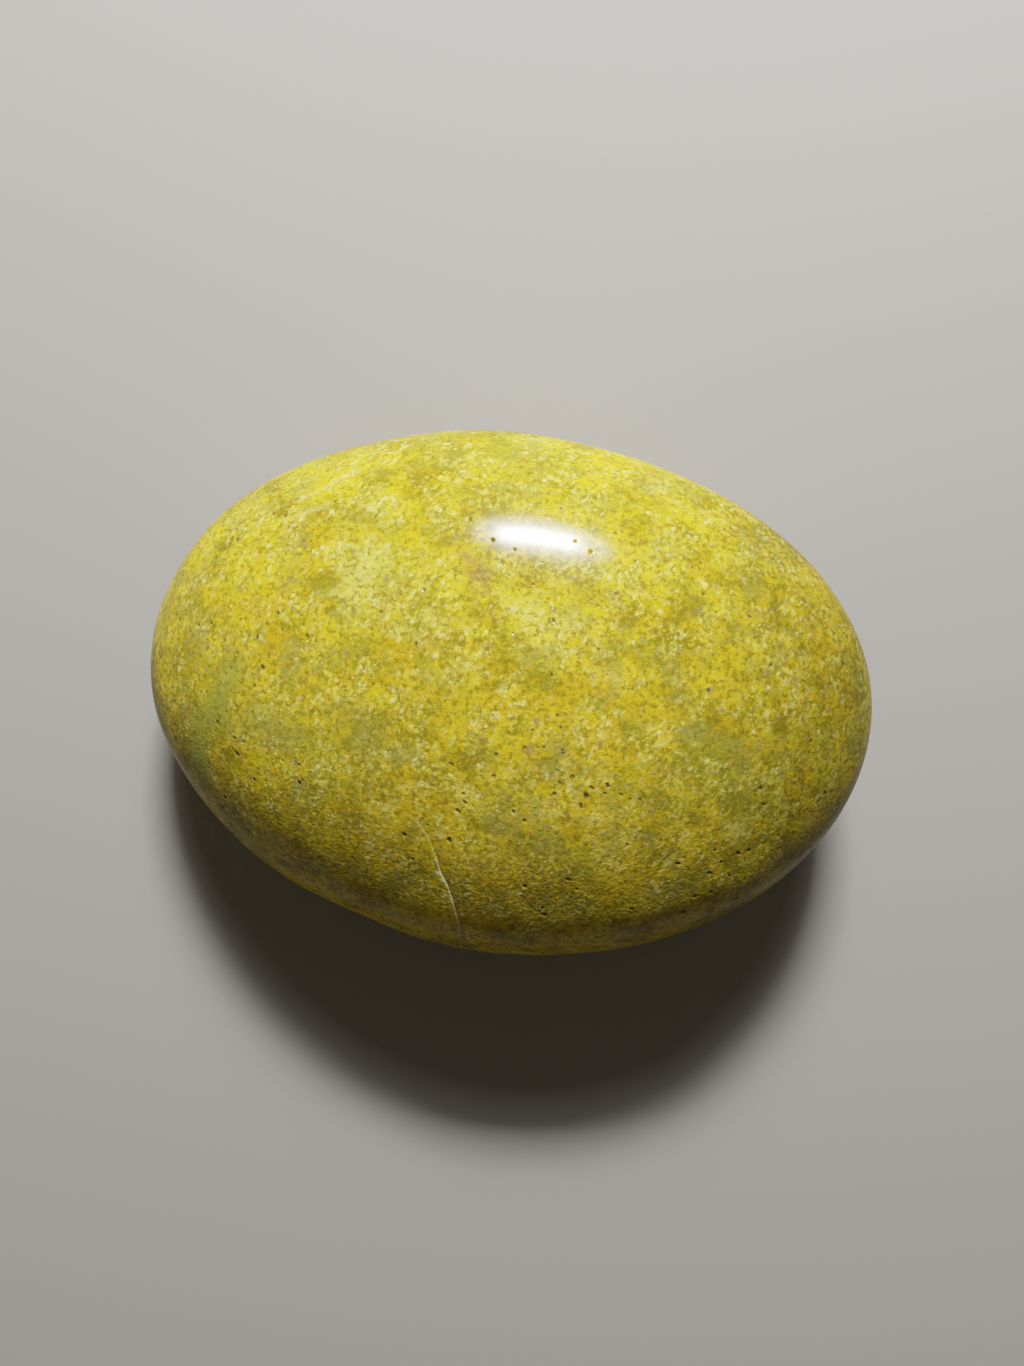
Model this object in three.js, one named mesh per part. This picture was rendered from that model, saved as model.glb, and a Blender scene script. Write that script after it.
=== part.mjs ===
// A polished opal palm stone: one solid, flattened pebble shape, worked smooth all over.
// Millimetres, +Z up. +X runs along the stone's length and +Y across it.
// The origin is under the middle of its outline, on the surface that it rests on.
import * as THREE from 'three';

// Outline at the rim, the stone's widest contour, measured from the rim's own centre.
const RIM_REACH = { east: 37.5, west: 37.8, north: 25.5, south: 28.1 };
// How square each quarter of the outline is. 2 is a true ellipse, and more is squarer.
const RIM_SQUARENESS = { northEast: 2.05, northWest: 2.01, southWest: 1.97, southEast: 1.99 };
// Places where the polished rim stands a little proud of those curves, or is worn a little flat.
const RIM_SWELLS = [
  { bearing: -167, rise: 0.23, spread: 9 },
  { bearing: -114, rise: -0.44, spread: 11 },
  { bearing: 102, rise: 0.41, spread: 23 },
  { bearing: 170, rise: -0.4, spread: 11 },
];

// Heights above the surface that the stone rests on.
const RIM_HEIGHT = 10.3;
const CROWN_HEIGHT = 27.3;
// The rim isn't quite level: it climbs to the east, and dips a little to the north.
const RIM_CLIMB_EAST = 0.054;
const RIM_CLIMB_NORTH = -0.016;
// The rubbed flat under the belly, as a share of the outline.
const FOOT_SHARE = 0.24;

// Fineness of the surface.
const FACETS_ROUND = 72;
const CROWN_STEPS = 18;
const BELLY_STEPS = 14;

const STONE_COLOUR = 0xb2a53c;
const STONE_ROUGHNESS = 0.25;

const QUARTER_TURN = Math.PI / 2;

// How far the rim is from its centre at a bearing, in radians counter-clockwise from +X.
function rimRadius(bearing) {
  const east = Math.cos(bearing) > 0;
  const north = Math.sin(bearing) > 0;
  const length = east ? RIM_REACH.east : RIM_REACH.west;
  const width = north ? RIM_REACH.north : RIM_REACH.south;
  const squareness = RIM_SQUARENESS[(north ? 'north' : 'south') + (east ? 'East' : 'West')];
  const along = Math.abs(Math.cos(bearing) / length) ** squareness;
  const across = Math.abs(Math.sin(bearing) / width) ** squareness;
  const smooth = (along + across) ** (-1 / squareness);
  return RIM_SWELLS.reduce((radius, swell) => radius + swellRise(swell, bearing), smooth);
}

// A soft bump or hollow in the rim that fades out to both sides of its own bearing.
function swellRise({ bearing: middle, rise, spread }, bearing) {
  const away = bearing - THREE.MathUtils.degToRad(middle);
  const nearest = Math.atan2(Math.sin(away), Math.cos(away));
  return rise * Math.exp(-((nearest / THREE.MathUtils.degToRad(spread)) ** 2));
}

// Height of the tilted plane that the rim lies in.
function rimPlane(x, y) {
  return RIM_HEIGHT + RIM_CLIMB_EAST * x + RIM_CLIMB_NORTH * y;
}

// A point of the crown. Elevation is 0 at the rim and a quarter turn at the top.
function crownPoint(bearing, elevation) {
  const reach = rimRadius(bearing) * Math.cos(elevation);
  const x = reach * Math.cos(bearing);
  const y = reach * Math.sin(bearing);
  const dome = (CROWN_HEIGHT - RIM_HEIGHT) * Math.sin(elevation);
  return new THREE.Vector3(x, y, rimPlane(x, y) + dome);
}

// A point of the belly. Depth is 0 at the rim and a quarter turn at the edge of the foot.
function bellyPoint(bearing, depth) {
  const share = FOOT_SHARE + (1 - FOOT_SHARE) * Math.cos(depth);
  const reach = rimRadius(bearing) * share;
  const x = reach * Math.cos(bearing);
  const y = reach * Math.sin(bearing);
  return new THREE.Vector3(x, y, rimPlane(x, y) * (1 - Math.sin(depth)));
}

// One closed ring of points, all at the same step down the stone.
function ring(pointAt, angle) {
  const bearings = Array.from({ length: FACETS_ROUND }, (_, i) => (i / FACETS_ROUND) * 4 * QUARTER_TURN);
  return bearings.map((bearing) => pointAt(bearing, angle));
}

// All the rings, from the one next to the top down to the edge of the foot.
function stoneRings() {
  const rings = [];
  for (let step = 1; step <= CROWN_STEPS; step += 1) {
    rings.push(ring(crownPoint, QUARTER_TURN * (1 - step / CROWN_STEPS)));
  }
  for (let step = 1; step <= BELLY_STEPS; step += 1) {
    rings.push(ring(bellyPoint, QUARTER_TURN * (step / BELLY_STEPS)));
  }
  return rings;
}

// The closed skin of the stone, with the middle of its outline over the origin.
function stoneGeometry() {
  const rings = stoneRings();
  const top = new THREE.Vector3(0, 0, CROWN_HEIGHT);
  const footCentre = new THREE.Vector3(0, 0, 0);
  const points = [top, ...rings.flat(), footCentre];
  const footIndex = points.length - 1;
  const at = (ringNumber, facet) => 1 + ringNumber * FACETS_ROUND + (facet % FACETS_ROUND);

  const triangles = [];
  for (let facet = 0; facet < FACETS_ROUND; facet += 1) {
    triangles.push(0, at(0, facet), at(0, facet + 1));
    for (let upper = 0; upper < rings.length - 1; upper += 1) {
      const lower = upper + 1;
      triangles.push(at(upper, facet), at(lower, facet), at(lower, facet + 1));
      triangles.push(at(upper, facet), at(lower, facet + 1), at(upper, facet + 1));
    }
    triangles.push(footIndex, at(rings.length - 1, facet + 1), at(rings.length - 1, facet));
  }

  const geometry = new THREE.BufferGeometry().setFromPoints(points);
  geometry.setIndex(triangles);
  geometry.computeBoundingBox();
  const middle = geometry.boundingBox.getCenter(new THREE.Vector3());
  geometry.translate(-middle.x, -middle.y, 0);
  geometry.computeVertexNormals();
  return geometry;
}

const polishedOpal = new THREE.MeshStandardMaterial({
  color: STONE_COLOUR,
  roughness: STONE_ROUGHNESS,
  metalness: 0,
});

const palmStone = new THREE.Mesh(stoneGeometry(), polishedOpal);
palmStone.name = 'palm_stone';

const stone = new THREE.Group();
stone.add(palmStone);

export default stone;
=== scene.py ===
"""A palm stone of yellow-green opal: domed, polished, flecked with cream and finely pitted.

The stone is one piece. Its outline and dome follow a rule, which Geometry Nodes work out on a fine
sphere. Pits, the healed crack and the nick in the rim are then pressed into that surface.
Lengths are in metres. Places in plan are in millimetres, east and north of the stone's middle.
"""

import math
import random
from typing import NamedTuple

import bmesh
import bpy
import numpy as np
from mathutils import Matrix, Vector, kdtree
from mathutils.bvhtree import BVHTree
from mathutils.noise import noise as fractal_noise


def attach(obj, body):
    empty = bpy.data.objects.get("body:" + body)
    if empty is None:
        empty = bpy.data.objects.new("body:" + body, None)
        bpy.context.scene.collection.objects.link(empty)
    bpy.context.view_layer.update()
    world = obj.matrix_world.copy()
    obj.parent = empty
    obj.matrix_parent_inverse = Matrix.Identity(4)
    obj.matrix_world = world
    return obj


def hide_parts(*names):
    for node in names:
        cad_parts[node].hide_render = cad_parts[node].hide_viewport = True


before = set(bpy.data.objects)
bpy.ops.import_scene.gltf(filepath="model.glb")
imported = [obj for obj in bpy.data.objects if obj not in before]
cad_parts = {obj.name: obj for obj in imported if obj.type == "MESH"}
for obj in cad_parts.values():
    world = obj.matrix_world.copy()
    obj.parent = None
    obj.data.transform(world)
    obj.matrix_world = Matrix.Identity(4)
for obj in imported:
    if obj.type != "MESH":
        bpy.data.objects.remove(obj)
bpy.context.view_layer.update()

MM = 0.001
STONE_NODE = "palm_stone"
STONE_BODY = "root"

# The rim: how far it reaches each way, and how square each quarter of the oval is (2 is an ellipse)
RIM_REACH = {"east": 37.5 * MM, "west": 37.8 * MM, "north": 25.5 * MM, "south": 28.1 * MM}
RIM_SQUARENESS = {"north east": 2.05, "north west": 2.01, "south west": 1.97, "south east": 1.99}
# Low swells and hollows along the rim: bearing in degrees, rise, and spread in degrees
RIM_SWELLS = (
    (-167, 0.23 * MM, 9),
    (-114, -0.44 * MM, 11),
    (102, 0.41 * MM, 23),
    (170, -0.40 * MM, 11),
)
# The rim's height over the floor at the middle, and how it climbs to the east and the north
RIM_HEIGHT = 10.3 * MM
RIM_CLIMB_EAST = 0.054
RIM_CLIMB_NORTH = -0.016
CROWN_HEIGHT = 27.3 * MM
# The flat foot: its share of the rim's reach, and how steep below the rim its edge lies
FOOT_SHARE = 0.24
FOOT_EDGE = math.radians(78)
# Very low waves left by the hand polishing
WAVE_HEIGHT = 0.035 * MM
WAVE_LENGTH = 11 * MM
WAVE_FADE = 1.5 * MM

# How often the sphere's triangles are cut in four: all of them, and then those near a pit or the crack
SPHERE_CUTS = 7
FINER_CUTS = 3
# How far past a mark the first of the finer cuts reaches; each later one reaches half as far
FINER_MARGIN = 0.30 * MM

# Pits on the crown, by how wide they are, each placed in millimetres east and north of the middle
WIDE_PIT = 0.56 * MM
MIDDLE_PIT = 0.45 * MM
NARROW_PIT = 0.35 * MM
PITS = {
    WIDE_PIT: (
        (-22.5, -0.9), (-24.3, -9.5), (-5.2, 15.3), (-7.1, -14.3), (-2.9, -14.1), (8.7, -8.1),
        (9.1, -7.4), (29.5, 11.4), (29.1, -0.5), (31.8, -5.2), (23.9, -11.8), (21.5, -14.0),
        (19.9, -18.1),
    ),
    MIDDLE_PIT: (
        (-28.3, 12.7), (-27.9, 11.0), (-29.9, 9.0), (-26.7, 8.3), (-24.6, 13.9), (-23.3, 13.8),
        (-22.7, 3.1), (-23.5, 1.8), (-26.9, 1.0), (-30.2, 2.2), (-18.5, 2.5), (-24.8, -4.9),
        (-24.7, -8.0), (-26.7, -6.8), (-17.6, -11.1), (-26.1, -15.4), (-25.6, -14.2), (-2.9, 13.6),
        (-1.6, 11.6), (6.1, 13.8), (2.9, 17.6), (8.2, 16.0), (7.3, 8.9), (8.8, 10.2), (10.5, -6.9),
        (8.4, -9.1), (11.8, -7.6), (7.3, -6.6), (5.9, -8.3), (3.6, -11.2), (-2.2, -9.6), (-2.5, -11.2),
        (0.3, -7.6), (0.2, -5.6), (2.7, -4.6), (6.1, -4.6), (6.8, -20.1), (8.5, -21.7), (14.9, -18.4),
        (-3.6, -7.1), (4.6, -17.5), (21.6, 13.7), (32.4, 10.0), (31.9, 7.3), (33.0, 7.0), (25.4, -6.9),
        (24.7, -5.4), (24.9, -11.4), (22.4, -12.8), (18.3, -13.4), (20.6, -16.4), (22.0, -15.8),
        (25.0, -16.4), (18.3, 2.8),
    ),
    NARROW_PIT: (
        (-28.4, 12.1), (-29.2, 12.0), (-29.3, 10.9), (-24.6, 15.9), (-22.8, 14.4), (-18.5, 15.7),
        (-20.7, 11.4), (-19.7, 10.4), (-21.8, 4.3), (-25.3, 0.0), (-28.4, 2.3), (-21.1, 2.8),
        (-23.1, -2.7), (-21.9, -3.3), (-24.6, -5.4), (-23.7, -8.2), (-29.8, -2.5), (-33.9, -8.6),
        (-19.5, -9.3), (-17.8, -9.4), (-22.3, -11.7), (4.6, 14.6), (-5.1, -13.0), (12.7, -7.9),
        (13.6, -7.8), (6.2, -7.3), (5.8, -6.2), (10.4, -7.7), (2.5, -10.5), (3.2, -25.2), (-3.7, -25.3),
        (16.5, -19.7), (27.5, 5.0), (24.0, 6.0), (21.5, -11.7), (23.5, -14.0), (25.2, -14.2),
        (18.1, 3.5), (19.4, -21.5),
    ),
}
# Fine pits scattered over the whole stone, its hidden underside too
SCATTERED_PITS = 150
SCATTERED_PIT_WIDTHS = (0.22 * MM, 0.44 * MM)
SCATTERED_PIT_LOWEST = 0.5 * MM
PIT_SEED = 11
# A pit's depth against its width, and how steep its wall is
PIT_DEPTH_SHARE = 0.19
PIT_WALL = 1.5
# Most pits are drawn out a little, south-eastwards, and some hold less dirt than others
PIT_STRETCH = 1.7
PIT_LEAN = math.radians(-40)
PIT_LEAN_SPREAD = math.radians(30)
PIT_LEAST_DIRT = 0.32
# The dirt is full out to one share of the pit's radius, and gone at the other
PIT_DIRT_FULL = 0.45
PIT_DIRT_GONE = 0.95
PIT_RAGGEDNESS = 0.35
PIT_RAGGED_SIZE = 0.12 * MM

# The healed crack, from its faint start to the rim, and the little step along its east side
CRACK = (
    (-6.7, -12.2), (-5.0, -13.8), (-4.0, -15.8), (-3.3, -17.5), (-2.5, -18.7), (-1.8, -20.3),
    (-1.2, -21.9), (-0.7, -23.8), (-0.5, -25.9), (-0.4, -26.8),
)
CRACK_WIDTH = 0.30 * MM
CRACK_DEPTH = 0.05 * MM
CRACK_STEP = 0.06 * MM
CRACK_STEP_REACH = 1.4 * MM
CRACK_STEP_END = 4.2 * MM
# How far south of its start the crack is in full, and how faint it is at the start
CRACK_FADE = 6.0 * MM
CRACK_FAINTEST = 0.35
# Painted shade in umber brown along the east side of the crack's lower part: where it runs, moved east by a
# part of a millimetre
CRACK_PAINTED_SHADE_SHIFT = 0.36
CRACK_PAINTED_SHADE_REACH = 0.26 * MM
CRACK_PAINTED_SHADE = [(east + CRACK_PAINTED_SHADE_SHIFT, north) for east, north in CRACK[3:-1]]
# A nick in the rim, a hollow on the crown, and the fuller shoulder just inside the south rim
NICK = (-25.0, -17.4)
NICK_REACH = 0.9 * MM
NICK_DEPTH = 0.22 * MM
HOLLOW = (-17.3, -20.3)
HOLLOW_REACH = 5.5 * MM
HOLLOW_DEPTH = 0.12 * MM
SHOULDER = ((-12.0, -21.6), (-6.0, -23.0), (2.0, -23.6), (10.0, -22.6), (18.0, -19.8), (25.0, -15.5))
SHOULDER_REACH = 3.8 * MM
SHOULDER_RISE = 0.38 * MM

# Stains and veins on the crown: places with how far each reaches
OCHRE = (
    (-28.0, 4.3, 1.6), (-22.9, 4.0, 2.4), (-20.9, 1.3, 2.2), (-17.8, -0.4, 1.2), (-24.4, -1.0, 1.8),
    (-27.2, 14.3, 1.2), (7.1, 1.1, 1.3), (8.6, 1.3, 1.0), (8.0, -12.1, 1.1), (24.7, 15.0, 1.2),
    (26.0, 14.8, 1.2), (28.8, 9.3, 1.5), (30.1, 6.3, 1.6), (32.5, 5.3, 1.6), (2.5, 1.0, 1.4),
    (-14.1, 0.9, 1.6), (13.4, 2.1, 1.4), (18.7, 8.7, 1.4), (9.6, -5.6, 1.6), (18.0, -6.3, 1.2),
    (-4.0, 10.2, 2.8), (-5.6, 12.4, 1.6),
)
UMBER = (
    (-4.9, 11.8, 0.9), (-3.9, 9.7, 1.2), (-2.9, 9.4, 1.0), (-3.5, 10.3, 1.9), (18.3, 2.8, 0.8),
    (10.6, -2.5, 0.7), (3.1, -4.7, 0.8), (-6.5, 1.1, 0.7), (-1.7, 4.0, 0.7),
)
CREAM = (
    (-19.3, 0.2, 0.5), (13.0, 9.4, 0.45), (16.6, 3.8, 0.45), (7.9, 1.4, 0.4), (23.2, 9.8, 0.4),
    (26.0, 10.6, 0.4), (17.0, 12.4, 0.45), (16.4, 12.7, 0.4), (32.7, 1.0, 0.4), (32.2, -0.7, 0.4),
    (30.2, 2.3, 0.4), (29.9, 0.4, 0.4), (-3.5, -17.5, 0.5), (-3.0, -18.1, 0.45), (-0.9, -21.4, 0.4),
    (4.2, -18.3, 0.4), (-6.5, 2.4, 0.4), (-8.3, 1.0, 0.4),
)
PALE_CLOUDS = (
    (-14.5, 7.6, 4.2), (-13.8, 10.3, 3.6), (-16.9, 10.9, 3.2), (-10.1, 5.1, 2.6), (1.4, 7.2, 3.0),
    (4.2, 6.7, 3.0), (-7.4, 5.5, 2.4), (22.6, -9.4, 2.2), (-2.4, -9.8, 1.8),
)
GREEN_CLOUDS = (
    (-14.9, 9.9, 8.0), (-11.0, 3.4, 5.0), (21.6, -4.4, 8.0), (-26.2, -3.6, 6.0), (-16.0, -7.6, 7.0),
    (-4.0, 21.0, 8.0), (-31.0, 5.0, 4.0), (18.0, 9.0, 4.0),
)
GOLD_CLOUDS = (
    (-6.1, -0.1, 6.5), (8.6, 1.4, 5.0), (-21.4, 3.1, 5.5), (-4.9, -12.6, 7.0), (5.5, -1.5, 8.0),
    (13.4, -4.6, 5.0), (-24.6, 5.2, 4.5), (29.2, 9.2, 6.5), (10.7, -10.9, 9.0), (1.0, -20.0, 9.0),
)
GREEN_BAND = ((-25.7, -1.1), (-26.0, -2.6), (-26.6, -4.3), (-27.7, -6.7), (-28.8, -9.1), (-28.4, -12.0))
GREEN_BAND_REACH = 2.4 * MM
PALE_VEINS = (
    ((-23.2, 13.4), (-21.8, 14.0), (-20.4, 14.7), (-19.1, 15.4)),
    ((-22.2, 15.6), (-20.4, 16.8), (-18.8, 18.2), (-17.0, 19.6)),
)
PALE_VEIN_REACH = 0.7 * MM
# How closely spots are set along a path, in millimetres: fine lines, and broad bands
FINE_STEP = 0.1
BAND_STEP = 0.4
SHOULDER_STEP = 0.5
# Darker and greyer towards the east end: where that starts and where it is full, east of the middle
GREYER_FROM = 8 * MM
GREYER_AT = 36 * MM
GREYER_RAGGEDNESS = 20 * MM

# Sizes of the mottling, from the broad clouds to the finest relief
CLOUD_SIZE = 5.5 * MM
CROWDING_SIZE = 3.6 * MM
WARMTH_SIZE = 3.2 * MM
GLOSS_SIZE = 1.8 * MM
RAGGED_SIZE = 0.9 * MM
FLECK_SIZE = 0.52 * MM
WOBBLE_SIZE = 0.45 * MM
WOBBLE_REACH = 0.20 * MM
RELIEF_SIZE = 0.34 * MM
RELIEF_HEIGHT = 0.052 * MM
FLECK_RELIEF = 0.012 * MM
# The flecks are a little longer one way
FLECK_LEAN = math.radians(62)
FLECK_STRETCH = 1.4
# How far apart the layers of noise are taken, so that no two are alike, and in which direction
LAYER_SHIFT = 0.117
LAYER_DIRECTION = (1.0, 0.7, 0.4)
NOISE_MIDDLE = 0.5

# Each layer of colour: the span of noise over which it comes in, and how strongly it tints
YELLOW_SPAN = (0.40, 0.53)
LEMON_SPAN = (0.48, 0.60)
GOLD_SPAN = (0.50, 0.62)
GOLD_TINT = 0.68
GREEN_SPAN = (0.00, 0.13)
GREEN_TINT = 0.60
GREY_SPAN = (0.50, 0.64)
GREY_TINT = 0.65
BAND_SPAN = (0.0, 0.9)
BAND_TINT = 0.75
PALE_SPAN = (0.2, 1.1)
PALE_TINT = 0.65
OCHRE_SPAN = (0.17, 0.46)
OCHRE_TINT = 0.55
SHADE_SPAN = (0.47, 0.68)
SHADE_TINT = 0.85
MAUVE_TINT = 0.60
BROWN_TINT = 0.75
FLECK_TINT = 0.92
# How far a painted cloud pulls the noise its way
GOLD_PULL = 0.12
GREEN_PULL = 0.15
OCHRE_PULL = 0.5
UMBER_PULL = 0.5
CROWDING_PULL = 0.10
# How far noise breaks up the soft marks: broadly, and along their edges
BAND_CLOUDINESS = 1.2
PALE_CLOUDINESS = 3.6
PALE_RAGGEDNESS = 1.4
OCHRE_CLOUDINESS = 1.1
OCHRE_RAGGEDNESS = 0.9
# Where the flecks crowd, how few are left elsewhere, and how much barer the green band is
CROWDING_SPAN = (0.42, 0.58)
LEAST_CROWDING = 0.12
BAND_BARENESS = 0.14
# The finest flecks, and which of the flecks are butter yellow or cream, by lot
FINE_FLECK_SPAN = (0.48, 0.63)
FINE_FLECK_STRENGTH = 0.65
BUTTER_SPAN = (0.0, 0.5)
CREAM_SPAN = (0.4, 1.0)
# Where brown specks are common, and how few are left elsewhere
STAINED_SPAN = (0.42, 0.58)
LEAST_STAINED = 0.18
# The smallest grain of a set, against its widest
SMALLEST_GRAIN = 0.45


class Grains(NamedTuple):
    """A set of grains: a grain whose lot is below the least one doesn't show."""

    layer: int
    spacing: float
    widest: float
    softness: float
    least_lot: float


SMALL_GRAINS = Grains(layer=6, spacing=0.54 * MM, widest=0.62, softness=0.26, least_lot=-0.2)
LARGE_GRAINS = Grains(layer=7, spacing=0.864 * MM, widest=0.42, softness=0.18, least_lot=0.1)
TINY_GRAINS = Grains(layer=12, spacing=0.3888 * MM, widest=0.56, softness=0.20, least_lot=0.3)
MAUVE_SPECKS = Grains(layer=9, spacing=1.19 * MM, widest=0.42, softness=0.30, least_lot=0.4)
BROWN_SPECKS = Grains(layer=10, spacing=0.85 * MM, widest=0.36, softness=0.22, least_lot=0.4)


class Mark(NamedTuple):
    """A sharp painted mark: its layer, how ragged its edge is, and how it comes in."""

    name: str
    raggedness: float
    span: tuple
    strength: float


CREAM_MARK = Mark("cream", raggedness=0.8, span=(0.20, 0.65), strength=0.90)
VEIN_MARK = Mark("vein", raggedness=1.0, span=(0.25, 0.95), strength=0.26)
# Painted shade along the crack's east side, in umber brown
CRACK_PAINTED_SHADE_MARK = Mark("crack_painted_shade", raggedness=0.6, span=(0.10, 0.80), strength=0.45)
CRACK_MARK = Mark("crack", raggedness=1.5, span=(0.12, 0.80), strength=0.80)
UMBER_MARK = Mark("umber", raggedness=2.0, span=(0.20, 0.85), strength=0.60)

# The gloss: the stone's own roughness, and the clear polish over it, which fades as it turns away
ROUGHNESS = 0.30
ROUGHNESS_SWING = 0.15
PIT_ROUGHNESS = 0.4
OPAL_IOR = 1.45
INNER_GLOSS = 0.02
POLISH = 0.70
POLISH_LOST = 0.63
POLISH_LOST_SPAN = (0.20, 0.62)
POLISH_ROUGHNESS = 0.13

# The colours of the stone, as linear red, green and blue
OLIVE = (0.248, 0.190, 0.009)
YELLOW_GREEN = (0.520, 0.392, 0.014)
LEMON = (0.730, 0.552, 0.018)
GOLD = (0.680, 0.450, 0.014)
GREEN = (0.350, 0.325, 0.026)
GREY_GREEN = (0.370, 0.330, 0.058)
MOSS_GREEN = (0.330, 0.355, 0.055)
PALE_YELLOW = (0.780, 0.700, 0.130)
CREAM_FLECK = (0.930, 0.850, 0.270)
BUTTER_FLECK = (0.890, 0.745, 0.100)
GOLD_FLECK = (0.860, 0.620, 0.040)
OCHRE_STAIN = (0.620, 0.385, 0.012)
# Umber brown: the real stains and brown specks, and also the painted shade beside the crack
UMBER_STAIN_AND_SHADE = (0.285, 0.175, 0.065)
MAUVE_GREY = (0.300, 0.235, 0.120)
PIT_DIRT = (0.100, 0.060, 0.028)
CRACK_GREY = (0.780, 0.730, 0.420)
# What the east end's colour is multiplied by where it is greyest
GREYER = (0.50, 0.50, 0.46)

# The camera looks straight down, its top turned a little to the west
CAMERA_PLACE = (0.72 * MM, 0.95 * MM, 118.3 * MM)
CAMERA_TURN = math.radians(8.2)
CAMERA_LENS = 27.04
CAMERA_FILM = 36.0
CAMERA_NEAR = 5 * MM

# The key light, from the north
KEY_PLACE = (-19.5 * MM, 354.5 * MM, 277.5 * MM)
KEY_SIZE = (102 * MM, 42 * MM)
KEY_POWER = 2.60
# The softer glow around the key light
GLOW_SIZE = (200 * MM, 130 * MM)
GLOW_POWER = 0.8
# The little light from all round
FILL_STRENGTH = 0.052
FILL_COLOUR = (1.00, 0.86, 0.68)
FLOOR_REACH = 0.9
FLOOR_COLOUR = (0.390, 0.376, 0.350)
FLOOR_ROUGHNESS = 0.8
# How bright light is shown: the brightest light kept, then light against what it's shown as
BRIGHTEST = 4.0
TONES = ((0.5, 0.50), (0.75, 0.635), (1.0, 0.715), (1.5, 0.83), (2.5, 0.94))


class Wire:
    """A node's output, which can be added, multiplied and raised as a number can."""

    def __init__(self, tree, socket):
        self.tree = tree
        self.socket = socket

    def __add__(self, other):
        return maths(self.tree, "ADD", self, other)

    def __radd__(self, other):
        return maths(self.tree, "ADD", other, self)

    def __sub__(self, other):
        return maths(self.tree, "SUBTRACT", self, other)

    def __rsub__(self, other):
        return maths(self.tree, "SUBTRACT", other, self)

    def __mul__(self, other):
        return maths(self.tree, "MULTIPLY", self, other)

    def __rmul__(self, other):
        return maths(self.tree, "MULTIPLY", other, self)

    def __truediv__(self, other):
        return maths(self.tree, "DIVIDE", self, other)

    def __rtruediv__(self, other):
        return maths(self.tree, "DIVIDE", other, self)

    def __pow__(self, other):
        return maths(self.tree, "POWER", self, other)

    def __abs__(self):
        return maths(self.tree, "ABSOLUTE", self)

    def __gt__(self, other):
        return maths(self.tree, "GREATER_THAN", self, other)

    def pick(self, when_one, when_nought):
        """One value where this wire is 1, the other where it is 0, and a mix between."""
        return self * when_one + (1 - self) * when_nought


def feed(tree, socket, value):
    """Links a wire into a socket, or sets the socket to a plain value."""
    if isinstance(value, Wire):
        tree.links.new(value.socket, socket)
    else:
        socket.default_value = value


def maths(tree, operation, *values):
    node = tree.nodes.new("ShaderNodeMath")
    node.operation = operation
    for socket, value in zip(node.inputs, values):
        feed(tree, socket, value)
    return Wire(tree, node.outputs[0])


def split_place(tree, place):
    """The x, y and z of a place."""
    node = tree.nodes.new("ShaderNodeSeparateXYZ")
    feed(tree, node.inputs[0], place)
    return [Wire(tree, output) for output in node.outputs]


def join_place(tree, x, y, z):
    node = tree.nodes.new("ShaderNodeCombineXYZ")
    for socket, value in zip(node.inputs, (x, y, z)):
        feed(tree, socket, value)
    return Wire(tree, node.outputs[0])


def moved(tree, place, layer):
    """The place shifted far away, so that each layer has a pattern of its own."""
    node = tree.nodes.new("ShaderNodeMapping")
    feed(tree, node.inputs["Vector"], place)
    feed(tree, node.inputs["Location"], [layer * LAYER_SHIFT * share for share in LAYER_DIRECTION])
    return Wire(tree, node.outputs[0])


def noise(tree, place, size, layer=0, detail=2.0, roughness=0.5):
    """Clouds of about the given size, from 0 to 1 and mostly near the middle."""
    node = tree.nodes.new("ShaderNodeTexNoise")
    feed(tree, node.inputs["Vector"], moved(tree, place, layer) if layer else place)
    feed(tree, node.inputs["Scale"], 1 / size)
    feed(tree, node.inputs["Detail"], detail)
    feed(tree, node.inputs["Roughness"], roughness)
    return Wire(tree, node.outputs[0])


def swing(clouds):
    """How far a noise lies above or below its middle."""
    return clouds - NOISE_MIDDLE


def stone_sizes():
    """Every size that drives the stone's shape, by name."""
    sizes = {f"Reach {side}": reach for side, reach in RIM_REACH.items()}
    sizes.update({f"Squareness {quarter}": value for quarter, value in RIM_SQUARENESS.items()})
    for number, (bearing, rise, spread) in enumerate(RIM_SWELLS, start=1):
        sizes[f"Swell {number} bearing"] = math.radians(bearing)
        sizes[f"Swell {number} rise"] = rise
        sizes[f"Swell {number} spread"] = math.radians(spread)
    sizes["Rim height"] = RIM_HEIGHT
    sizes["Climb east"] = RIM_CLIMB_EAST
    sizes["Climb north"] = RIM_CLIMB_NORTH
    sizes["Crown height"] = CROWN_HEIGHT
    sizes["Foot share"] = FOOT_SHARE
    sizes["Foot edge"] = FOOT_EDGE
    sizes["Wave height"] = WAVE_HEIGHT
    sizes["Wave length"] = WAVE_LENGTH
    sizes["Wave fade"] = WAVE_FADE
    return sizes


def rim_reach(size, bearing):
    """How far out the rim is at a bearing: an oval of four unlike quarters, with its swells."""
    tree = bearing.tree
    eastward = maths(tree, "COSINE", bearing)
    northward = maths(tree, "SINE", bearing)
    is_east = eastward > 0
    is_north = northward > 0
    length = is_east.pick(size["Reach east"], size["Reach west"])
    width = is_north.pick(size["Reach north"], size["Reach south"])
    northern = is_east.pick(size["Squareness north east"], size["Squareness north west"])
    southern = is_east.pick(size["Squareness south east"], size["Squareness south west"])
    squareness = is_north.pick(northern, southern)
    oval = abs(eastward / length) ** squareness + abs(northward / width) ** squareness
    reach = oval ** (-1 / squareness)
    for number in range(1, len(RIM_SWELLS) + 1):
        away = maths(tree, "WRAP", bearing - size[f"Swell {number} bearing"], math.pi, -math.pi)
        steepness = away / size[f"Swell {number} spread"]
        fall = maths(tree, "EXPONENT", steepness * steepness * -1)
        reach = reach + size[f"Swell {number} rise"] * fall
    return reach


def rim_plane(size, east, north):
    """The rim's height, which climbs gently to one side."""
    return size["Rim height"] + size["Climb east"] * east + size["Climb north"] * north


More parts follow.
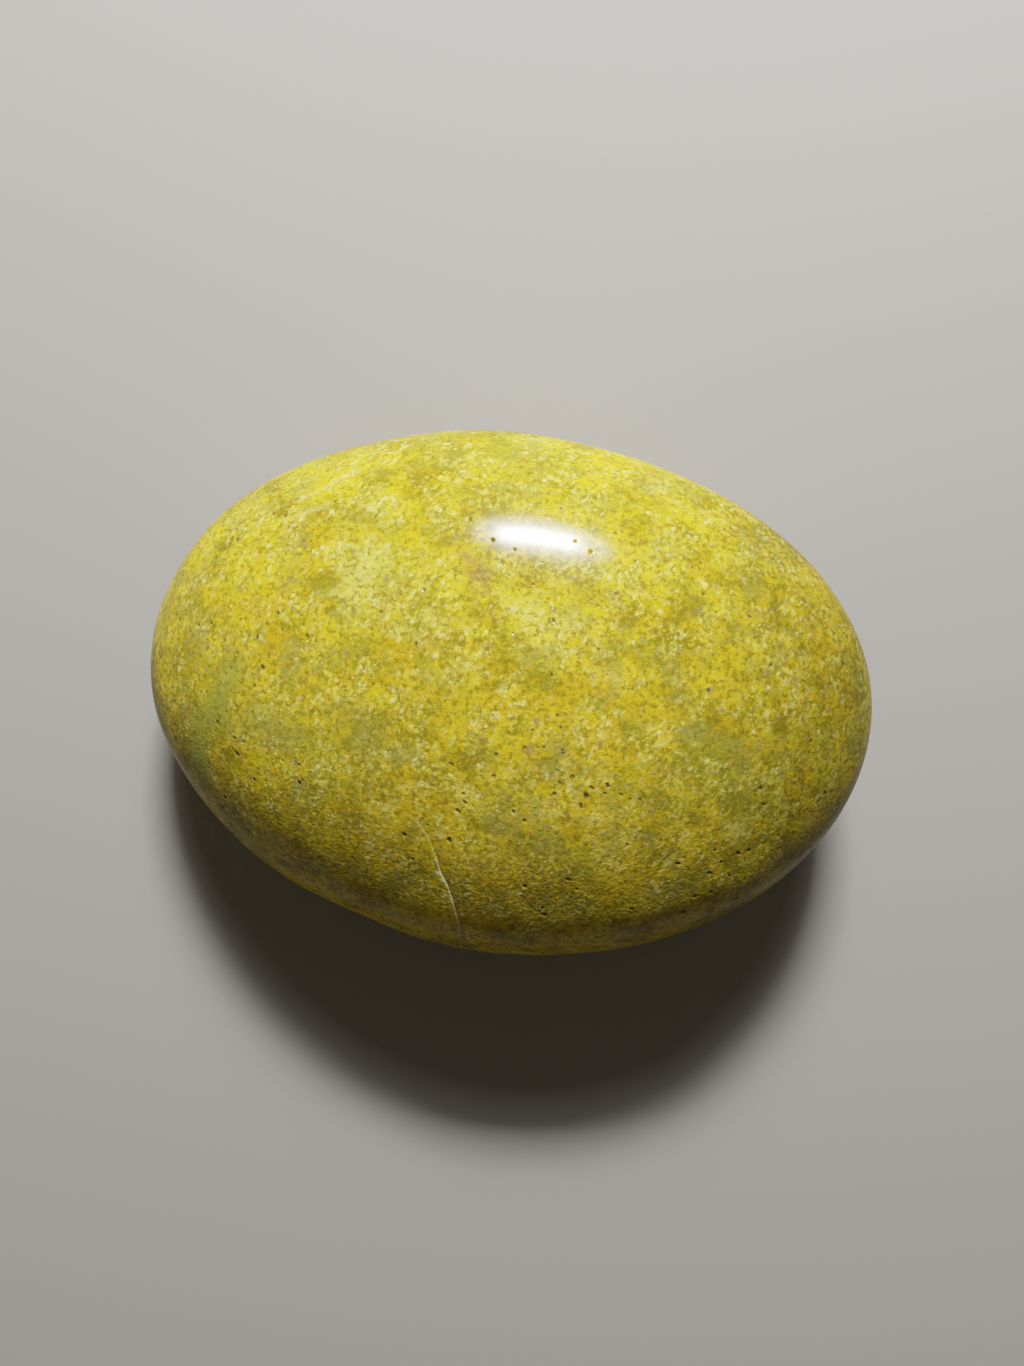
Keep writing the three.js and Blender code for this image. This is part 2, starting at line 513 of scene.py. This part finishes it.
def stone_place(tree, size):
    """Where each point of the sphere goes on the stone."""
    place = Wire(tree, tree.nodes.new("GeometryNodeInputPosition").outputs[0])
    x, y, z = split_place(tree, place)
    level = maths(tree, "SQRT", x * x + y * y)
    bearing = maths(tree, "ARCTAN2", y, x)
    lift = maths(tree, "ARCTAN2", z, level)
    depth = lift * -1
    rim = rim_reach(size, bearing)

    crown_share = maths(tree, "COSINE", lift)
    foot_half_turn = depth / size["Foot edge"] * (math.pi / 2)
    belly_turn = maths(tree, "MINIMUM", foot_half_turn, math.pi / 2)
    belly_share = size["Foot share"] + (1 - size["Foot share"]) * maths(tree, "COSINE", belly_turn)
    foot_share = size["Foot share"] * maths(tree, "COSINE", depth) / maths(tree, "COSINE", size["Foot edge"])
    is_crown = z > 0
    is_foot = depth > size["Foot edge"]
    share = is_crown.pick(crown_share, is_foot.pick(foot_share, belly_share))

    east = rim * share * maths(tree, "COSINE", bearing)
    north = rim * share * maths(tree, "SINE", bearing)
    plane = rim_plane(size, east, north)
    crown_rise = (size["Crown height"] - size["Rim height"]) * maths(tree, "SINE", lift)
    belly_height = plane * (1 - maths(tree, "SINE", belly_turn))
    height = is_crown.pick(plane + crown_rise, is_foot.pick(0, belly_height))
    return join_place(tree, east, north, height)


def polishing_waves(tree, size):
    """A low wave over the surface, along its normal, which dies out at the foot."""
    place = Wire(tree, tree.nodes.new("GeometryNodeInputPosition").outputs[0])
    height = split_place(tree, place)[2]
    fade = maths(tree, "MINIMUM", height / size["Wave fade"], 1)
    waves = noise(tree, place, size["Wave length"], detail=1.0)
    rise = swing(waves) * 2 * size["Wave height"] * fade
    along_normal = tree.nodes.new("ShaderNodeVectorMath")
    along_normal.operation = "SCALE"
    tree.links.new(tree.nodes.new("GeometryNodeInputNormal").outputs[0], along_normal.inputs[0])
    feed(tree, along_normal.inputs["Scale"], rise)
    return Wire(tree, along_normal.outputs[0])


def shape_tree(sizes):
    """The rule that turns a sphere into the stone, as Geometry Nodes with every size an input."""
    tree = bpy.data.node_groups.new("palm stone shape", "GeometryNodeTree")
    tree.interface.new_socket("Sphere", in_out="INPUT", socket_type="NodeSocketGeometry")
    tree.interface.new_socket("Finish", in_out="INPUT", socket_type="NodeSocketMaterial")
    for name in sizes:
        tree.interface.new_socket(name, in_out="INPUT", socket_type="NodeSocketFloat")
    tree.interface.new_socket("Stone", in_out="OUTPUT", socket_type="NodeSocketGeometry")
    given = tree.nodes.new("NodeGroupInput")
    size = {name: Wire(tree, given.outputs[name]) for name in sizes}

    shaped = tree.nodes.new("GeometryNodeSetPosition")
    tree.links.new(given.outputs["Sphere"], shaped.inputs["Geometry"])
    feed(tree, shaped.inputs["Position"], stone_place(tree, size))
    waved = tree.nodes.new("GeometryNodeSetPosition")
    tree.links.new(shaped.outputs["Geometry"], waved.inputs["Geometry"])
    feed(tree, waved.inputs["Offset"], polishing_waves(tree, size))
    realized = tree.nodes.new("GeometryNodeRealizeInstances")
    tree.links.new(waved.outputs["Geometry"], realized.inputs["Geometry"])
    finished = tree.nodes.new("GeometryNodeSetMaterial")
    tree.links.new(realized.outputs["Geometry"], finished.inputs["Geometry"])
    tree.links.new(given.outputs["Finish"], finished.inputs["Material"])
    result = tree.nodes.new("NodeGroupOutput")
    tree.links.new(finished.outputs["Geometry"], result.inputs["Stone"])
    return tree


def stone_from(sphere, tree, sizes, finish):
    """The mesh that the rule makes of a sphere, moved so that its plan is centred on the origin."""
    carrier = bpy.data.objects.new("sphere", sphere)
    bpy.context.scene.collection.objects.link(carrier)
    modifier = carrier.modifiers.new("shape", "NODES")
    modifier.node_group = tree
    for item in tree.interface.items_tree:
        if item.name in sizes:
            modifier[item.identifier] = sizes[item.name]
        elif item.name == "Finish":
            modifier[item.identifier] = finish
    graph = bpy.context.evaluated_depsgraph_get()
    mesh = bpy.data.meshes.new_from_object(carrier.evaluated_get(graph))
    bpy.data.objects.remove(carrier)
    points = read_points(mesh)
    middle = (points.min(axis=0) + points.max(axis=0)) / 2
    points[:, :2] -= middle[:2]
    write_points(mesh, points)
    return mesh


def read_points(mesh):
    points = np.empty(len(mesh.vertices) * 3)
    mesh.vertices.foreach_get("co", points)
    return points.reshape(-1, 3)


def write_points(mesh, points):
    mesh.vertices.foreach_set("co", points.ravel())
    mesh.update()


def unit_sphere():
    ball = bmesh.new()
    bmesh.ops.create_icosphere(ball, subdivisions=SPHERE_CUTS, radius=1.0)
    return ball


def as_mesh(ball, name):
    mesh = bpy.data.meshes.new(name)
    ball.to_mesh(mesh)
    return mesh


def nearest_lookup(places):
    tree = kdtree.KDTree(len(places))
    for number, (place, _) in enumerate(places):
        tree.insert(place, number)
    tree.balance()
    return tree


def cut_finer(ball, stone, places, margin):
    """Cuts the sphere's triangles in four wherever the stone's surface is near a mark."""
    lookup = nearest_lookup(places)
    points = read_points(stone)
    ball.faces.ensure_lookup_table()
    ball.verts.ensure_lookup_table()
    chosen = set()
    for face in ball.faces:
        middle = sum((Vector(points[corner.index]) for corner in face.verts), Vector()) / len(face.verts)
        _, number, away = lookup.find(middle)
        if away < places[number][1] + margin:
            chosen.update(face.edges)
    bmesh.ops.subdivide_edges(ball, edges=list(chosen), cuts=1, use_grid_fill=True)
    bmesh.ops.triangulate(ball, faces=[face for face in ball.faces if len(face.verts) > 3])
    for vert in ball.verts:
        vert.co.normalize()
    ball.verts.index_update()


def crown_places(lookup, plan):
    """The surface place straight below each plan place, given in millimetres."""
    found = []
    for east, north in plan:
        above = Vector((east * MM, north * MM, 2 * CROWN_HEIGHT))
        place, _, _, _ = lookup.ray_cast(above, Vector((0, 0, -1)))
        if place:
            found.append(place)
    return found


def spots_on(lookup, spots):
    """Surface spots from plan spots: place and reach of each."""
    return [(place, reach * MM) for *plan, reach in spots for place in crown_places(lookup, [plan])]


def along(lookup, path, reach, step=FINE_STEP):
    """Spots set closely on the crown along a plan path."""
    plan = []
    for start, end in zip(path, path[1:]):
        count = max(1, round(math.dist(start, end) / step))
        for number in range(count):
            share = number / count
            plan.append([a + (b - a) * share for a, b in zip(start, end)])
    return [(place, reach) for place in crown_places(lookup, plan + [path[-1]])]


class Pit:
    """One pit: its place and radius, how far it is drawn out along its lean, and its dirt."""

    def __init__(self, place, radius, draw):
        self.place = place
        self.radius = radius
        lean = PIT_LEAN + draw.uniform(-1, 1) * PIT_LEAN_SPREAD
        self.lean = np.array((math.cos(lean), math.sin(lean), 0))
        self.stretch = draw.uniform(1, PIT_STRETCH)
        self.dirt = draw.uniform(PIT_LEAST_DIRT, 1)

    def away(self, points):
        """How far each point is from the pit's middle, against its radius."""
        gap = points - np.array(self.place)
        lengthwise = gap @ self.lean * (1 - 1 / self.stretch)
        return np.linalg.norm(gap - np.outer(lengthwise, self.lean), axis=1) / self.radius


def all_pits(lookup):
    """Every pit: the listed ones, then the scattered ones."""
    draw = random.Random(PIT_SEED)
    pits = []
    for width, plan in PITS.items():
        pits += [Pit(place, width / 2, draw) for place in crown_places(lookup, plan)]
    for _ in range(SCATTERED_PITS):
        toward = Vector([draw.gauss(0, 1) for _ in range(3)]).normalized()
        inside = Vector((0, 0, RIM_HEIGHT))
        place, _, _, _ = lookup.ray_cast(inside, toward)
        radius = draw.uniform(*SCATTERED_PIT_WIDTHS) / 2
        if place and place.z > SCATTERED_PIT_LOWEST:
            pits.append(Pit(place, radius, draw))
    return pits


def nearness(points, spots):
    """How near each point is to the nearest of the spots: 1 in its middle, 0 past its reach."""
    near = np.zeros(len(points))
    for place, reach in spots:
        away = np.linalg.norm(points - np.array(place), axis=1) / reach
        near = np.maximum(near, 1 - away)
    return near


def press_pits(points, normals, pits):
    """Sinks each pit as a small uneven bowl. Returns the points and how much dirt lies at each."""
    ragged = np.array([fractal_noise(Vector(point) / PIT_RAGGED_SIZE) for point in points])
    dirt_fall = 1 / (PIT_DIRT_GONE - PIT_DIRT_FULL)
    dirt = np.zeros(len(points))
    sink = np.zeros(len(points))
    for pit in pits:
        away = pit.away(points) + ragged * PIT_RAGGEDNESS
        bowl = (1 - np.clip(away, 0, 1) ** 2) ** PIT_WALL
        sink = np.maximum(sink, bowl * pit.radius * 2 * PIT_DEPTH_SHARE)
        dirt = np.maximum(dirt, np.clip((PIT_DIRT_GONE - away) * dirt_fall, 0, 1) * pit.dirt)
    return points - normals * sink[:, None], dirt


def press_crack(points, normals, lookup):
    """The crack, faint at its start: a fine groove, and the ground east of it a touch lower."""
    line = along(lookup, CRACK, CRACK_WIDTH / 2)
    start = CRACK[0][1] * MM
    groove = nearness(points, line)
    groove *= np.interp(start - points[:, 1], (0, CRACK_FADE), (CRACK_FAINTEST, 1))
    sink = groove * CRACK_DEPTH
    path = nearest_lookup(line)
    for number in np.nonzero(points[:, 1] < start)[0]:
        nearest, _, away = path.find(points[number])
        if points[number][0] > nearest.x and away < CRACK_STEP_END:
            strength = min(1, (start - nearest.y) / CRACK_FADE)
            sink[number] += CRACK_STEP * strength * math.exp(-((away / CRACK_STEP_REACH) ** 2))
    return points - normals * sink[:, None], groove


def swell_crown(points, normals, lookup):
    """The fuller shoulder, the hollow beside it and the nick in the rim."""
    shoulder = nearest_lookup(along(lookup, SHOULDER, SHOULDER_REACH, step=SHOULDER_STEP))
    away = np.array([shoulder.find(point)[2] for point in points])
    rise = SHOULDER_RISE * np.exp(-((away / SHOULDER_REACH) ** 2))
    for plan, depth, reach in ((HOLLOW, HOLLOW_DEPTH, HOLLOW_REACH), (NICK, NICK_DEPTH, NICK_REACH)):
        for place in crown_places(lookup, [plan]):
            away = np.linalg.norm(points - np.array(place), axis=1)
            rise -= depth * np.exp(-((away / reach) ** 2))
    return points + normals * rise[:, None]


def store(mesh, name, values):
    layer = mesh.attributes.new(name, "FLOAT", "POINT")
    layer.data.foreach_set("value", np.clip(values, 0, 1).astype(np.float32))


def paint_marks(stone, points, lookup):
    """Paints how near each point is to the stains, clouds and veins, and to the painted shade beside the
    crack.
    """
    veins = [spot for path in PALE_VEINS for spot in along(lookup, path, PALE_VEIN_REACH)]
    marks = {
        "ochre": spots_on(lookup, OCHRE),
        "umber": spots_on(lookup, UMBER),
        "cream": spots_on(lookup, CREAM),
        "pale": spots_on(lookup, PALE_CLOUDS),
        "green_cloud": spots_on(lookup, GREEN_CLOUDS),
        "gold_cloud": spots_on(lookup, GOLD_CLOUDS),
        "green_band": along(lookup, GREEN_BAND, GREEN_BAND_REACH, step=BAND_STEP),
        "vein": veins,
        # painted shade beside the crack
        "crack_painted_shade": along(lookup, CRACK_PAINTED_SHADE, CRACK_PAINTED_SHADE_REACH),
    }
    for name, spots in marks.items():
        store(stone, name, nearness(points, spots))


def make_stone(finish):
    sizes = stone_sizes()
    tree = shape_tree(sizes)
    ball = unit_sphere()
    stone = stone_from(as_mesh(ball, "coarse sphere"), tree, sizes, finish)
    lookup = BVHTree.FromPolygons(
        [vertex.co for vertex in stone.vertices], [face.vertices for face in stone.polygons]
    )
    pits = all_pits(lookup)
    fine_places = [(pit.place, pit.radius * pit.stretch) for pit in pits]
    fine_places += along(lookup, CRACK, CRACK_WIDTH)
    for cut in range(FINER_CUTS):
        cut_finer(ball, stone, fine_places, FINER_MARGIN / 2 ** cut)
        stone = stone_from(as_mesh(ball, "finer sphere"), tree, sizes, finish)
    ball.free()

    points = read_points(stone)
    normals = np.array([vertex.normal for vertex in stone.vertices])
    paint_marks(stone, points, lookup)
    points, groove = press_crack(points, normals, lookup)
    points, dirt = press_pits(points, normals, pits)
    write_points(stone, swell_crown(points, normals, lookup))
    store(stone, "pit_dirt", dirt)
    store(stone, "crack", groove)
    stone.shade_smooth()
    stone.name = "polished_palm_stone"
    piece = bpy.data.objects.new("polished_palm_stone", stone)
    bpy.context.scene.collection.objects.link(piece)
    return piece


def between(wire, low, high):
    """0 below low, 1 above high, and a smooth step between."""
    node = wire.tree.nodes.new("ShaderNodeMapRange")
    node.interpolation_type = "SMOOTHSTEP"
    feed(wire.tree, node.inputs["Value"], wire)
    feed(wire.tree, node.inputs["From Min"], low)
    feed(wire.tree, node.inputs["From Max"], high)
    return Wire(wire.tree, node.outputs[0])


def tint(tree, under, over, amount):
    """Lays one colour over another by an amount from 0 to 1."""
    node = tree.nodes.new("ShaderNodeMix")
    node.data_type = "RGBA"
    feed(tree, node.inputs["Factor"], amount)
    for socket, colour in zip((node.inputs[6], node.inputs[7]), (under, over)):
        feed(tree, socket, colour if isinstance(colour, Wire) else (*colour, 1.0))
    return Wire(tree, node.outputs[2])


def dim(tree, colour, by, amount):
    """Darkens a colour by another, by an amount from 0 to 1."""
    dimmed = tint(tree, colour, by, amount)
    dimmed.socket.node.blend_type = "MULTIPLY"
    return dimmed


def painted(tree, name):
    """One of the stone's own painted layers."""
    node = tree.nodes.new("ShaderNodeAttribute")
    node.attribute_name = name
    return Wire(tree, node.outputs["Fac"])


def wobbled(tree, place, size, reach):
    """The place shifted a little to and fro, so that what is drawn there has uneven edges."""
    node = tree.nodes.new("ShaderNodeTexNoise")
    feed(tree, node.inputs["Vector"], place)
    feed(tree, node.inputs["Scale"], 1 / size)
    feed(tree, node.inputs["Detail"], 1.0)
    shift = tree.nodes.new("ShaderNodeVectorMath")
    shift.operation = "MULTIPLY_ADD"
    tree.links.new(node.outputs["Color"], shift.inputs[0])
    shift.inputs[1].default_value = (2 * reach,) * 3
    feed(tree, shift.inputs[2], place)
    return Wire(tree, shift.outputs[0])


def drawn_out(tree, place):
    """The place squeezed along one lean, so that what is drawn there comes out longer that way."""
    node = tree.nodes.new("ShaderNodeMapping")
    node.vector_type = "TEXTURE"
    feed(tree, node.inputs["Vector"], place)
    feed(tree, node.inputs["Rotation"], (0, 0, FLECK_LEAN))
    feed(tree, node.inputs["Scale"], (FLECK_STRETCH, 1, 1))
    return Wire(tree, node.outputs[0])


def grains(tree, place, kind):
    """Round grains of unlike sizes strewn through the stone: how far in one, and each one's two lots."""
    node = tree.nodes.new("ShaderNodeTexVoronoi")
    feed(tree, node.inputs["Vector"], moved(tree, place, kind.layer))
    feed(tree, node.inputs["Scale"], 1 / kind.spacing)
    lots = split_place(tree, Wire(tree, node.outputs["Color"]))
    radius = kind.widest * (SMALLEST_GRAIN + (1 - SMALLEST_GRAIN) * lots[0])
    inside = between((radius - Wire(tree, node.outputs["Distance"])) / kind.softness, 0, 1)
    return inside, lots[1], lots[2]


def ground_colour(tree, place):
    """The ground: olive to lemon clouds, warmer or greener by turns."""
    clouds = noise(tree, place, CLOUD_SIZE, detail=5, roughness=0.85)
    warmth = noise(tree, place, WARMTH_SIZE, layer=1, detail=4, roughness=0.85)
    colour = tint(tree, OLIVE, YELLOW_GREEN, between(clouds, *YELLOW_SPAN))
    colour = tint(tree, colour, LEMON, between(clouds, *LEMON_SPAN))
    gold = between(warmth + painted(tree, "gold_cloud") * GOLD_PULL, *GOLD_SPAN)
    green = between(NOISE_MIDDLE - warmth + painted(tree, "green_cloud") * GREEN_PULL, *GREEN_SPAN)
    colour = tint(tree, colour, GOLD, gold * GOLD_TINT)
    return tint(tree, colour, GREEN, green * GREEN_TINT)


def broad_marks(tree, place, colour, ragged):
    """The soft marks of the ground: grey clouds, the green band, pale clouds and ochre clouds."""
    grey_clouds = noise(tree, place, CLOUD_SIZE, layer=2, detail=4, roughness=0.7)
    colour = tint(tree, colour, GREY_GREEN, between(grey_clouds, *GREY_SPAN) * GREY_TINT)
    band = between(painted(tree, "green_band") + swing(grey_clouds) * BAND_CLOUDINESS, *BAND_SPAN)
    colour = tint(tree, colour, MOSS_GREEN, band * BAND_TINT)
    pale_clouds = noise(tree, place, CLOUD_SIZE, layer=15, detail=5, roughness=0.75)
    pale = painted(tree, "pale") + swing(pale_clouds) * PALE_CLOUDINESS + swing(ragged) * PALE_RAGGEDNESS
    colour = tint(tree, colour, PALE_YELLOW, between(pale, *PALE_SPAN) * PALE_TINT)
    ochre_clouds = noise(tree, place, CLOUD_SIZE, layer=3, detail=4, roughness=0.7)
    ochre = painted(tree, "ochre") * OCHRE_PULL + swing(ochre_clouds) * OCHRE_CLOUDINESS
    ochre = ochre + swing(ragged) * OCHRE_RAGGEDNESS
    colour = tint(tree, colour, OCHRE_STAIN, between(ochre, *OCHRE_SPAN) * OCHRE_TINT)
    return colour, band, ochre_clouds


def pale_flecks(tree, place, band):
    """Ragged fine flecks and rounder grains of three sizes: how much of one, and the lot for its hue."""
    uneven = drawn_out(tree, wobbled(tree, place, WOBBLE_SIZE, WOBBLE_REACH))
    crowding = noise(tree, place, CROWDING_SIZE, layer=4, detail=3, roughness=0.7)
    crowding = crowding + painted(tree, "pale") * CROWDING_PULL - band * BAND_BARENESS
    room = LEAST_CROWDING + (1 - LEAST_CROWDING) * between(crowding, *CROWDING_SPAN)
    fine = noise(tree, uneven, FLECK_SIZE, layer=5, detail=2, roughness=0.6)
    flecks = between(fine, *FINE_FLECK_SPAN) * FINE_FLECK_STRENGTH
    hues = []
    for kind in (SMALL_GRAINS, LARGE_GRAINS, TINY_GRAINS):
        inside, lot, hue = grains(tree, uneven, kind)
        flecks = maths(tree, "MAXIMUM", flecks, inside * between(lot, kind.least_lot, 1))
        hues.append(hue)
    return flecks * room, hues[0]


def specks(tree, place, colour, ochre_clouds):
    """Small dark specks: olive everywhere, mauve-grey here and there, brown mostly in the stains."""
    uneven = wobbled(tree, place, WOBBLE_SIZE, WOBBLE_REACH)
    shades = noise(tree, uneven, FLECK_SIZE, layer=8, detail=2, roughness=0.7)
    colour = tint(tree, colour, OLIVE, between(shades, *SHADE_SPAN) * SHADE_TINT)
    mauve, mauve_lot, _ = grains(tree, uneven, MAUVE_SPECKS)
    mauve = mauve * between(mauve_lot, MAUVE_SPECKS.least_lot, 1)
    colour = tint(tree, colour, MAUVE_GREY, mauve * MAUVE_TINT)
    umber = painted(tree, "umber") * UMBER_PULL
    stained = LEAST_STAINED + (1 - LEAST_STAINED) * between(ochre_clouds + umber, *STAINED_SPAN)
    brown, brown_lot, _ = grains(tree, uneven, BROWN_SPECKS)
    brown = brown * between(brown_lot + umber, BROWN_SPECKS.least_lot, 1)
    return tint(tree, colour, UMBER_STAIN_AND_SHADE, brown * stained * BROWN_TINT)


def greyer_end(tree, place, colour, ragged):
    """Darker and greyer towards the east end."""
    eastward = split_place(tree, place)[0] + swing(ragged) * GREYER_RAGGEDNESS
    return dim(tree, colour, GREYER, between(eastward, GREYER_FROM, GREYER_AT))


def worn(tree, mark, ragged):
    """How much of a sharp painted mark shows, with its edge worn ragged."""
    return between(painted(tree, mark.name) + swing(ragged) * mark.raggedness, *mark.span) * mark.strength


def sharp_marks(tree, colour, ragged):
    """The cream spots and veins, the painted shade beside the crack, the crack, the umber stains and the
    dirt in the pits.
    """
    pale = maths(tree, "MAXIMUM", worn(tree, CREAM_MARK, ragged), worn(tree, VEIN_MARK, ragged))
    colour = tint(tree, colour, CREAM_FLECK, pale)
    # Painted shade beside the crack, in umber brown
    colour = tint(tree, colour, UMBER_STAIN_AND_SHADE, worn(tree, CRACK_PAINTED_SHADE_MARK, ragged))
    colour = tint(tree, colour, CRACK_GREY, worn(tree, CRACK_MARK, ragged))
    colour = tint(tree, colour, UMBER_STAIN_AND_SHADE, worn(tree, UMBER_MARK, ragged))
    return tint(tree, colour, PIT_DIRT, painted(tree, "pit_dirt"))


def stone_colours(tree, place):
    """The mottled colour, built up from the ground to the dirt in the pits, and where the flecks are."""
    ragged = noise(tree, place, RAGGED_SIZE, layer=11, detail=3, roughness=0.65)
    colour = ground_colour(tree, place)
    colour, band, ochre_clouds = broad_marks(tree, place, colour, ragged)
    flecks, hue = pale_flecks(tree, place, band)
    warm_fleck = tint(tree, GOLD_FLECK, BUTTER_FLECK, between(hue, *BUTTER_SPAN))
    fleck_colour = tint(tree, warm_fleck, CREAM_FLECK, between(hue, *CREAM_SPAN))
    colour = tint(tree, colour, fleck_colour, flecks * FLECK_TINT)
    colour = specks(tree, place, colour, ochre_clouds)
    colour = greyer_end(tree, place, colour, ragged)
    return sharp_marks(tree, colour, ragged), flecks


def micro_relief(tree, place, flecks):
    """The fine unevenness that polishing leaves between hard and soft grains, as a normal."""
    grain_relief = noise(tree, place, RELIEF_SIZE, layer=14, detail=2, roughness=0.55)
    height = swing(grain_relief) * RELIEF_HEIGHT + flecks * FLECK_RELIEF
    bump = tree.nodes.new("ShaderNodeBump")
    feed(tree, bump.inputs["Strength"], 1.0)
    feed(tree, bump.inputs["Distance"], 1.0)
    feed(tree, bump.inputs["Height"], height)
    return Wire(tree, bump.outputs[0])


def polish(tree):
    """How strong the clear polish is: none in the pits, and less where the surface turns away."""
    facing = tree.nodes.new("ShaderNodeLayerWeight")
    turned = between(Wire(tree, facing.outputs["Facing"]), *POLISH_LOST_SPAN)
    return (POLISH - POLISH_LOST * turned) * (1 - painted(tree, "pit_dirt"))


def opal_finish():
    """Polished opal: mottled colour, a soft inner gloss and a clear polish over it."""
    material = bpy.data.materials.new("polished_opal")
    material.use_nodes = True
    tree = material.node_tree
    tree.nodes.clear()
    coordinates = tree.nodes.new("ShaderNodeTexCoord")
    place = Wire(tree, coordinates.outputs["Object"])
    colour, flecks = stone_colours(tree, place)
    gloss_clouds = noise(tree, place, GLOSS_SIZE, layer=13, detail=3, roughness=0.6)
    roughness = ROUGHNESS + swing(gloss_clouds) * ROUGHNESS_SWING + painted(tree, "pit_dirt") * PIT_ROUGHNESS
    shader = tree.nodes.new("ShaderNodeBsdfPrincipled")
    feed(tree, shader.inputs["Base Color"], colour)
    feed(tree, shader.inputs["Roughness"], roughness)
    feed(tree, shader.inputs["IOR"], OPAL_IOR)
    feed(tree, shader.inputs["Specular IOR Level"], INNER_GLOSS)
    feed(tree, shader.inputs["Coat Weight"], polish(tree))
    feed(tree, shader.inputs["Coat Roughness"], POLISH_ROUGHNESS)
    feed(tree, shader.inputs["Coat IOR"], OPAL_IOR)
    feed(tree, shader.inputs["Normal"], micro_relief(tree, place, flecks))
    output = tree.nodes.new("ShaderNodeOutputMaterial")
    tree.links.new(shader.outputs["BSDF"], output.inputs["Surface"])
    return material


def pale_floor():
    """The plain pale floor that the stone lies on."""
    mesh = bpy.data.meshes.new("pale_floor")
    corners = [(x * FLOOR_REACH, y * FLOOR_REACH, 0) for x, y in ((-1, -1), (1, -1), (1, 1), (-1, 1))]
    mesh.from_pydata(corners, [], [(0, 1, 2, 3)])
    material = bpy.data.materials.new("pale_floor")
    material.use_nodes = True
    shader = material.node_tree.nodes["Principled BSDF"]
    shader.inputs["Base Color"].default_value = (*FLOOR_COLOUR, 1.0)
    shader.inputs["Roughness"].default_value = FLOOR_ROUGHNESS
    mesh.materials.append(material)
    floor = bpy.data.objects.new("pale_floor", mesh)
    bpy.context.scene.collection.objects.link(floor)


def set_camera():
    camera = bpy.data.cameras.new("camera")
    camera.sensor_width = CAMERA_FILM
    camera.lens = CAMERA_LENS
    camera.clip_start = CAMERA_NEAR
    holder = bpy.data.objects.new("camera", camera)
    holder.location = CAMERA_PLACE
    holder.rotation_euler = (0, 0, CAMERA_TURN)
    bpy.context.scene.collection.objects.link(holder)
    bpy.context.scene.camera = holder


def add_lamp(name, size, power, shape):
    """A flat lamp at the key light's place, turned to the stone."""
    lamp = bpy.data.lights.new(name, "AREA")
    lamp.shape = shape
    lamp.size, lamp.size_y = size
    lamp.energy = power
    holder = bpy.data.objects.new(name, lamp)
    holder.location = KEY_PLACE
    aim = Vector((0, 0, RIM_HEIGHT)) - Vector(KEY_PLACE)
    holder.rotation_euler = aim.to_track_quat("-Z", "Y").to_euler()
    bpy.context.scene.collection.objects.link(holder)


def set_light():
    """One key light from the north with a softer glow around it, and a little light from all round."""
    add_lamp("key", KEY_SIZE, KEY_POWER, "RECTANGLE")
    add_lamp("glow", GLOW_SIZE, GLOW_POWER, "ELLIPSE")
    world = bpy.data.worlds.new("studio")
    world.use_nodes = True
    background = world.node_tree.nodes["Background"]
    background.inputs["Color"].default_value = (*FILL_COLOUR, 1)
    background.inputs["Strength"].default_value = FILL_STRENGTH
    bpy.context.scene.world = world


def set_tones():
    """Shows the light as a photograph does: faithful in the shades, with the brightest tones held back."""
    view = bpy.context.scene.view_settings
    view.view_transform = "Standard"
    view.use_curve_mapping = True
    view.curve_mapping.white_level = (BRIGHTEST,) * 3
    curve = view.curve_mapping.curves[3]
    for light, shown in TONES:
        curve.points.new(light / BRIGHTEST, shown)
    view.curve_mapping.update()


finish = opal_finish()
stone = make_stone(finish)
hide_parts(STONE_NODE)
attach(stone, STONE_BODY)
pale_floor()
set_camera()
set_light()
set_tones()
